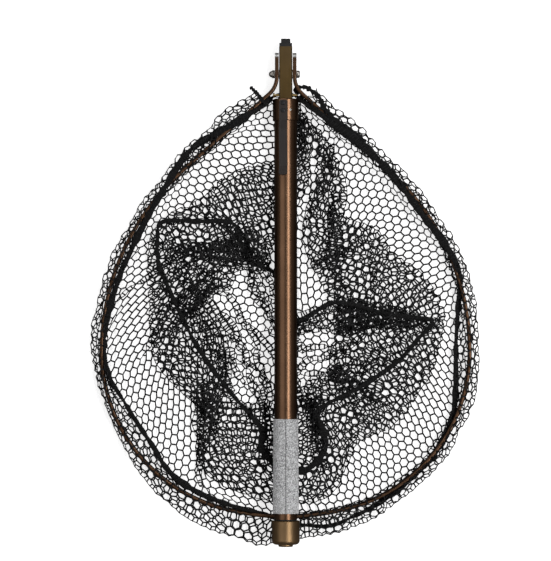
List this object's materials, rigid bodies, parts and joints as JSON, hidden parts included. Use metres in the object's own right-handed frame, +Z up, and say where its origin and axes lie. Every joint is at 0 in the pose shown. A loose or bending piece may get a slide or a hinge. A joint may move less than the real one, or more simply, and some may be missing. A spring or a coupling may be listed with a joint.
{
  "type": "folding landing net",
  "caption": "Folding landing net: tear-drop hoop with a hexagonal mesh bag, hinged on a square bar that slides in a tubular handle with a latch, grip and belt clip.",
  "frame": {"origin": "on the ground, under the middle of the folded net's bounding box", "axes": "+Z up from the ground the net lies on, +Y along the handle towards the hinge, +X to the right"},
  "size_m": [0.4282, 0.5554, 0.0464],
  "materials": {
    "bronze_tube": "satin",
    "bronze_bar": "satin",
    "bronze_cap": "satin",
    "bronze_hoop": "satin",
    "bare_steel": "polished",
    "dark_steel": "satin",
    "brass": "gloss",
    "black_metal": "satin",
    "black_plastic": "matte",
    "pale_plastic": "satin",
    "grey_grip": "matte",
    "black_rubber": "matte",
    "net_mesh": "satin",
    "net_binding": "matte"
  },
  "bodies": {
    "handle": {"handle_tube": "bronze_tube", "collar": "bronze_tube", "collar_bush": "black_plastic", "belt_clip": "black_metal", "clip_screws": "dark_steel", "set_screw": "bare_steel", "foam_grip": "grey_grip", "spring_anchor": "black_plastic", "butt_insert": "pale_plastic", "butt_seal": "black_rubber", "scale_spring": "bare_steel"},
    "lock_knob": {"butt_cap": "bronze_cap", "lock_rod": "bare_steel"},
    "head": {"head_bar": "bronze_bar", "head_plug": "black_plastic", "spring_seat": "pale_plastic", "return_spring": "bare_steel", "pivot_bush": "pale_plastic", "side_washers": "pale_plastic", "pivot_bolt": "bare_steel", "pivot_nut": "bare_steel", "slide_guide": "black_plastic", "guide_screws": "dark_steel"},
    "release": {"push_button": "black_plastic", "push_rod": "bare_steel", "latch_pin": "brass"},
    "hoop": {"hoop_frame": "bronze_hoop", "rim_sleeve": "net_mesh", "rim_seam": "net_binding", "net_wall": "net_mesh", "net_base": "net_mesh", "base_seam": "net_binding"}
  },
  "joints": [
    {"name": "scale_slide", "type": "slide", "parent": "handle", "child": "head", "axis": [0, 0.9994, -0.0351], "range_m": [0, 0.075], "stiffness_N_per_m": 830, "springref_m": -0.01, "deforming": ["scale_spring"]},
    {"name": "hoop_fold", "type": "hinge", "parent": "head", "child": "hoop", "pos_m": [0, 0.23885, 0.01324], "axis": [1, 0, 0], "range_deg": [0, 177.27]},
    {"name": "latch_release", "type": "slide", "parent": "head", "child": "release", "axis": [0, -0.9994, 0.0351], "range_m": [0, 0.0016], "stiffness_N_per_m": 1500, "springref_m": -0.002, "deforming": ["return_spring"]},
    {"name": "scale_lock", "type": "hinge", "parent": "handle", "child": "lock_knob", "pos_m": [0, -0.26204, 0.03085], "axis": [0, -0.9994, 0.0351], "range_deg": [0, 180]}
  ]
}
